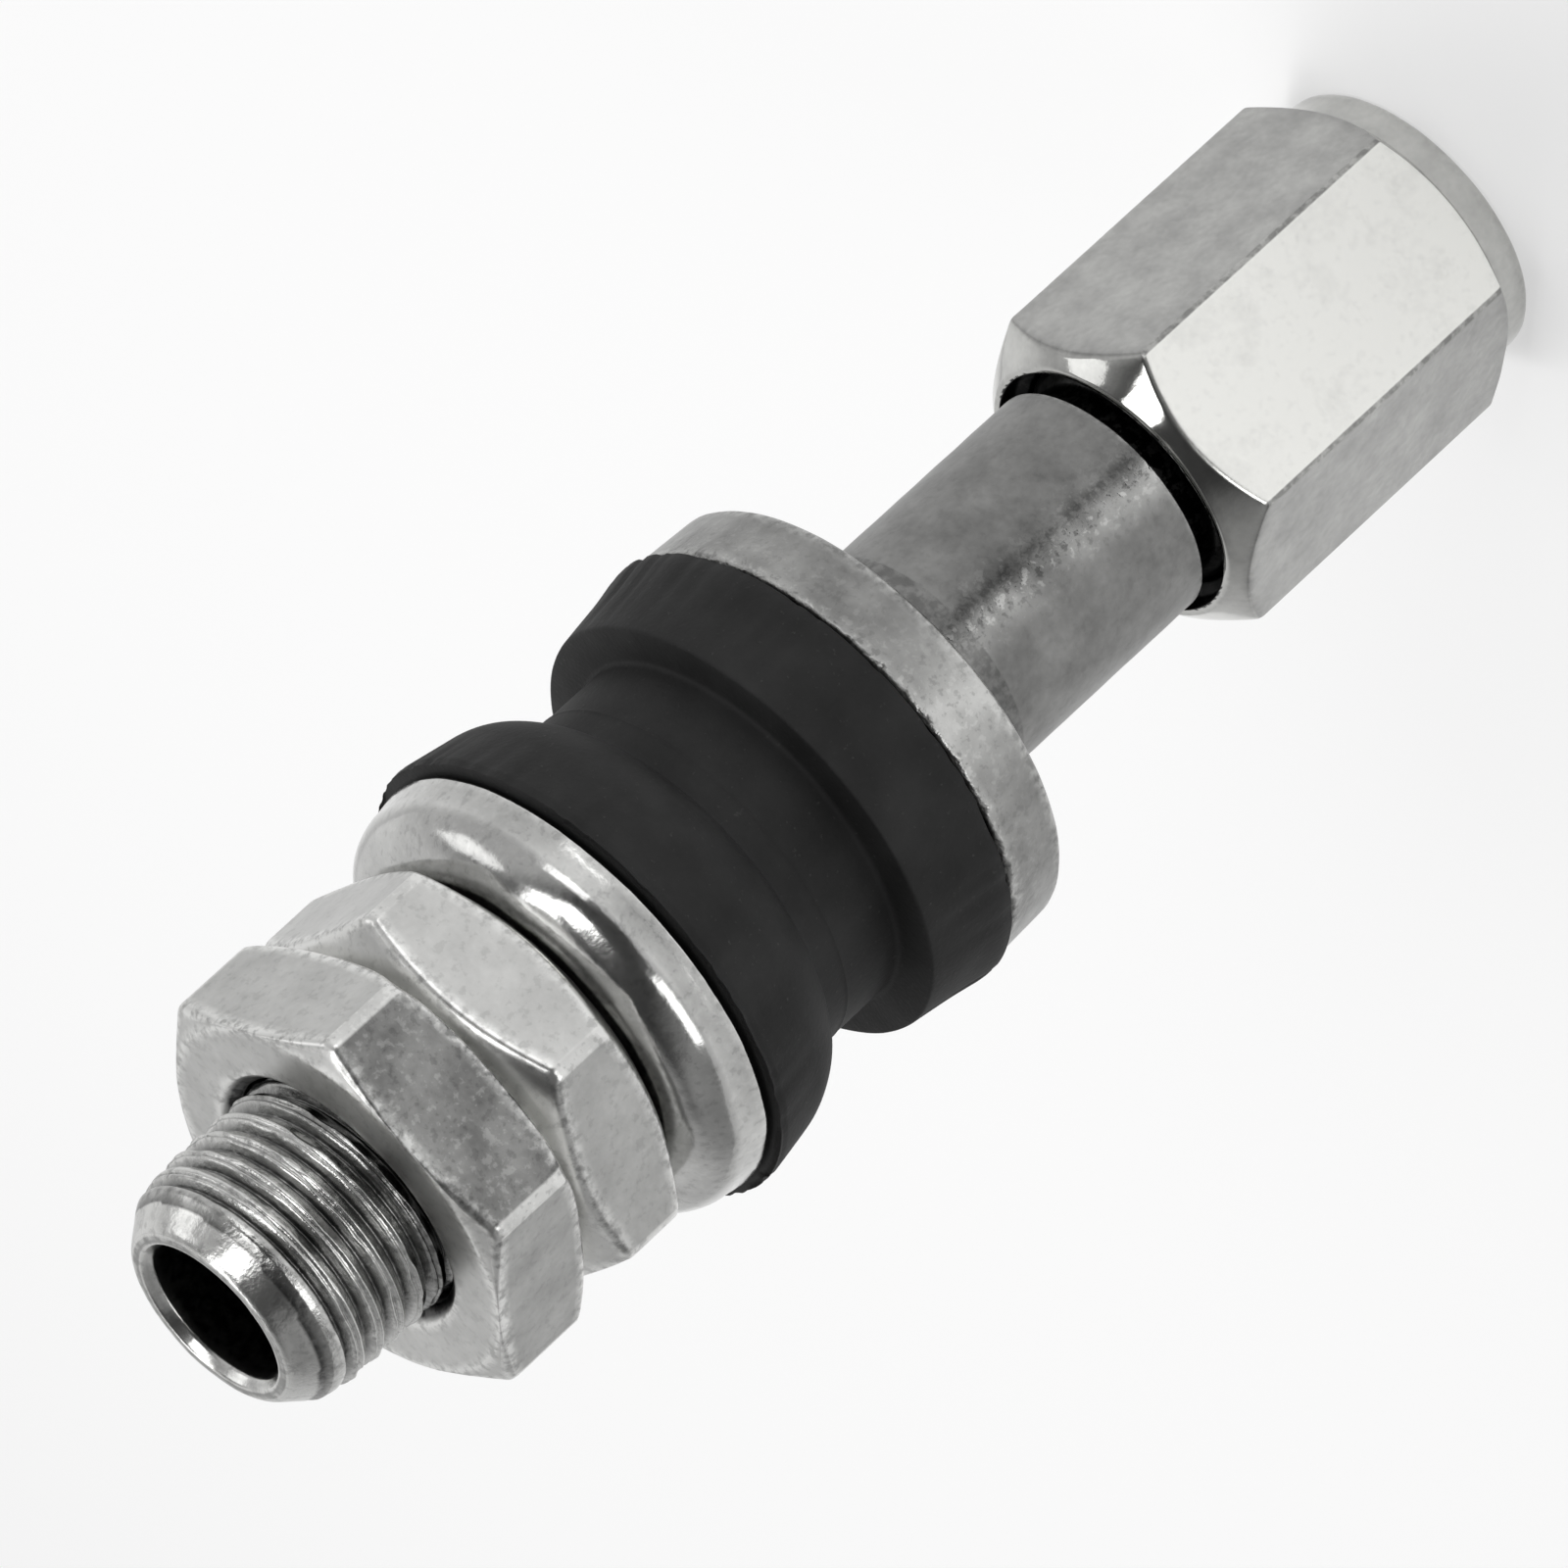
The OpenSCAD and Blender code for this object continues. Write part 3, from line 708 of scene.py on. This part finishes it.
def coil():
    """The core spring as round wire along a helix."""
    turns, per_turn, sides, wire_r = 11, 36, 10, 0.12
    coil_r = SPRING_R - wire_r
    bm = bmesh.new()
    rings = []
    for i in range(turns * per_turn + 1):
        a = FULL_TURN * i / per_turn
        z = SPRING_LOW + wire_r + (SPRING_TOP - SPRING_LOW - 2 * wire_r) * i / (turns * per_turn)
        ring = []
        for k in range(sides):
            b = FULL_TURN * k / sides
            r = (coil_r + wire_r * math.cos(b)) * MM
            height = (z + wire_r * math.sin(b)) * MM
            ring.append(bm.verts.new((r * math.cos(a), r * math.sin(a), height)))
        rings.append(ring)
    for ring, after in zip(rings, rings[1:]):
        for k in range(sides):
            bm.faces.new((ring[k], ring[k - 1], after[k - 1], after[k]))
    bm.faces.new(rings[0])
    bm.faces.new(rings[-1])
    bmesh.ops.recalc_face_normals(bm, faces=bm.faces)
    return bm


stem = revolve(stem_outline, round_angles(192))
finished(stem, stem_finish)
dented(stem, size=0.9, depth=0.012)
piece("plated_stem", stem, STEM_METAL, "stem", "valve_stem")

grommet = revolve(grommet_outline, round_angles(256))
dented(grommet, size=2.0, depth=0.03)
piece("moulded_grommet", grommet, RUBBER, "stem", "rubber_grommet")

washer = revolve(washer_outline, round_angles(256))
finished(washer, washer_finish)
dented(washer, size=1.8, depth=0.05)
piece("pressed_washer", washer, WASHER_METAL, "washer", "ring_washer")

clamp_nut = revolve(clamp_nut_outline, hexagon_angles(CLAMP_NUT_TURN))
# Tone and scuff of each flat from the one in front: the tones are painted reflections
finished(clamp_nut, nut_finish(CLAMP_NUT_TURN, CLAMP_LOW, CLAMP_TOP, gap=CLAMP_TOP, flats=(
    (0.64, 0.05), (0.55, 0.05), (0.4, 0.1), (0.6, 0.05), (0.5, 0.1), (0.46, 0.05))))
dented(clamp_nut, size=0.7, depth=0.012)
piece("chamfered_clamp_nut", clamp_nut, NUT_METAL, "clamp_nut", "clamp_nut")

lock_nut = revolve(lock_nut_outline, hexagon_angles(LOCK_NUT_TURN))
# Tone and scuff of each flat from the one in front: the tones are painted reflections, darkest on the flat in
# front
finished(lock_nut, nut_finish(LOCK_NUT_TURN, LOCK_LOW, LOCK_TOP, gap=LOCK_LOW, flats=(
    (0.18, 0.35), (0.57, 0.05), (0.3, 0.2), (0.5, 0.05), (0.3, 0.3), (0.33, 0.05))))
dented(lock_nut, size=0.7, depth=0.012)
piece("chamfered_lock_nut", lock_nut, NUT_METAL, "lock_nut", "lock_nut")

cap = revolve(cap_outline, hexagon_angles(CAP_TURN))
finished(cap, cap_finish)
dented(cap, size=0.8, depth=0.01)
piece("hexagon_cap", cap, CAP_METAL, "cap", "hex_cap")

spring = piece("wound_core_spring", coil(), SPRING_METAL, "stem", "core_spring")
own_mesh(spring)

# Small pieces that keep their solids
small_pieces = {"core_plug": CORE_METAL, "core_barrel": CORE_METAL, "core_pin": CORE_METAL,
                "pin_cup": CORE_METAL, "barrel_gasket": FLUOROPLASTIC, "cup_gasket": SEAL_RUBBER,
                "cap_seal": SEAL_RUBBER}
for node, made_of in small_pieces.items():
    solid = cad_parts[node]
    solid.data.materials.clear()
    solid.data.materials.append(made_of)


# Floor, light and camera

def floor_sheet():
    """A plain pale sheet under the valve. Half of what is seen of it, also in a mirror, is plain white and
    half is lit, so that it keeps the valve's shadow."""
    half = 1500 * MM
    white_share = 0.5
    bm = bmesh.new()
    corners = [bm.verts.new((x * half, y * half, CAP_LOW * MM))
               for x, y in ((-1, -1), (1, -1), (1, 1), (-1, 1))]
    bm.faces.new(corners)
    mesh = bpy.data.meshes.new("floor")
    bm.to_mesh(mesh)
    bm.free()
    paper, tree, shader = material("matt_white_paper")
    shader.inputs["Base Color"].default_value = linear("#f6f6f6")
    shader.inputs["Roughness"].default_value = 0.9
    shader.inputs["Specular IOR Level"].default_value = 0.1
    path = add(tree, "LightPath").outputs
    seen = add(tree, "Math", {0: path["Is Camera Ray"], 1: path["Is Glossy Ray"]}, operation="ADD")
    seen = add(tree, "Math", {0: seen.outputs[0], 1: path["Is Transmission Ray"]}, operation="ADD")
    share = add(tree, "Math", {0: seen.outputs[0], 1: white_share}, operation="MULTIPLY")
    white = add(tree, "Emission", {"Color": (1, 1, 1, 1), "Strength": 1})
    both = add(tree, "MixShader", {0: share.outputs[0], 1: shader.outputs[0], 2: white.outputs[0]})
    tree.links.new(both.outputs[0], tree.nodes["Material Output"].inputs["Surface"])
    mesh.materials.append(paper)
    sheet = bpy.data.objects.new("floor", mesh)
    bpy.context.scene.collection.objects.link(sheet)


def softbox(name, place, aim, size, radiance, roll=0, mirrored=True):
    """A lamp of that brightness, where 1 is white, at a place in millimetres. Metal may mirror it or not."""
    width, height = size
    lamp = bpy.data.lights.new(name, "AREA")
    lamp.shape = "RECTANGLE"
    lamp.size = width * MM
    lamp.size_y = height * MM
    lamp.energy = radiance * math.pi * width * height * MM ** 2
    made = bpy.data.objects.new(name, lamp)
    made.location = Vector(place) * MM
    facing = (Vector(aim) - Vector(place)).to_track_quat("-Z", "Y").to_matrix()
    made.rotation_euler = (Matrix.Rotation(math.radians(roll), 3, "Z") @ facing).to_euler()
    made.visible_glossy = mirrored
    bpy.context.scene.collection.objects.link(made)


def studio():
    """A dark room with a bright back wall and grey side walls, two lamps overhead, one at the left, one
    low at each side of the camera and one that lights the backdrop."""
    dark, back_wall, side_wall = 0.08, 0.9, 0.55
    dim_side, bright_side = 0.58, 1.15
    stack = (0, 0, 8)
    world = bpy.data.worlds.new("studio")
    bpy.context.scene.world = world
    world.use_nodes = True
    tree = world.node_tree
    shader = tree.nodes["Background"]
    toward = add(tree, "TexCoord").outputs["Generated"]
    ways = add(tree, "SeparateXYZ", {"Vector": toward})
    aside = add(tree, "Math", {0: ways.outputs["X"]}, operation="ABSOLUTE")
    back = add(tree, "MapRange", {"Value": ways.outputs["Y"], "From Min": -0.05, "From Max": 0.85,
                                  "To Min": dark, "To Max": back_wall}, interpolation_type="SMOOTHSTEP")
    sides = add(tree, "MapRange", {"Value": aside.outputs[0], "From Min": 0.4, "From Max": 0.8,
                                   "To Min": dark, "To Max": side_wall}, interpolation_type="SMOOTHSTEP")
    lean = add(tree, "MapRange", {"Value": ways.outputs["X"], "From Min": -1,
                                  "To Min": dim_side, "To Max": bright_side})
    level = add(tree, "Math", {0: back.outputs[0], 1: sides.outputs[0]}, operation="MAXIMUM")
    level = add(tree, "Math", {0: level.outputs[0], 1: lean.outputs[0]}, operation="MULTIPLY")
    tree.links.new(level.outputs[0], shader.inputs["Strength"])
    shader.inputs["Color"].default_value = (1, 1, 1, 1)
    softbox("left_lamp", place=(57, -105, 165), aim=(57, -105, 0), size=(60, 130), radiance=4)
    softbox("top_lamp", place=(30, 30, 165), aim=(30, 30, 0), size=(25, 150), radiance=4, roll=28)
    softbox("left_side_lamp", place=(120, 15, 98), aim=stack, size=(50, 60), radiance=1.1)
    softbox("left_front_lamp", place=(80, -122, 8), aim=stack, size=(60, 45), radiance=2)
    softbox("right_front_lamp", place=(-88, -116, 25), aim=stack, size=(80, 45), radiance=3)
    softbox("back_lamp", place=(0, 120, 200), aim=(0, 40, -28), size=(150, 150), radiance=4,
            mirrored=False)


def camera():
    """The photograph's view: a long lens, looking down on the valve and rolled so that it lies diagonally."""
    elevation = math.radians(25.2)
    distance = 380.4
    aim_height = -2.305
    picture_side = 1600
    picture_per_mm = 36.8
    axis_point = (810.5, 798.0)
    axis_slope = math.radians(42.494)
    look = Vector((0, math.cos(elevation), -math.sin(elevation)))
    level = Vector((1, 0, 0))
    above = level.cross(look)
    turn = math.pi / 2 + axis_slope
    right = level * math.cos(turn) - above * math.sin(turn)
    up = level * math.sin(turn) + above * math.cos(turn)
    lens = bpy.data.cameras.new("camera")
    lens.sensor_width = 36
    lens.lens = lens.sensor_width * distance * picture_per_mm / picture_side
    lens.clip_start = 10 * MM
    lens.clip_end = 10000 * MM
    made = bpy.data.objects.new("camera", lens)
    off_right = (axis_point[0] - picture_side / 2) / picture_per_mm
    off_up = (picture_side / 2 - axis_point[1]) / picture_per_mm
    place = Vector((0, 0, aim_height)) - right * off_right - up * off_up - look * distance
    made.matrix_world = Matrix.Translation(place * MM) @ Matrix((right, up, -look)).transposed().to_4x4()
    bpy.context.scene.collection.objects.link(made)
    bpy.context.scene.camera = made


floor_sheet()
studio()
camera()
bpy.context.scene.view_settings.view_transform = "Standard"
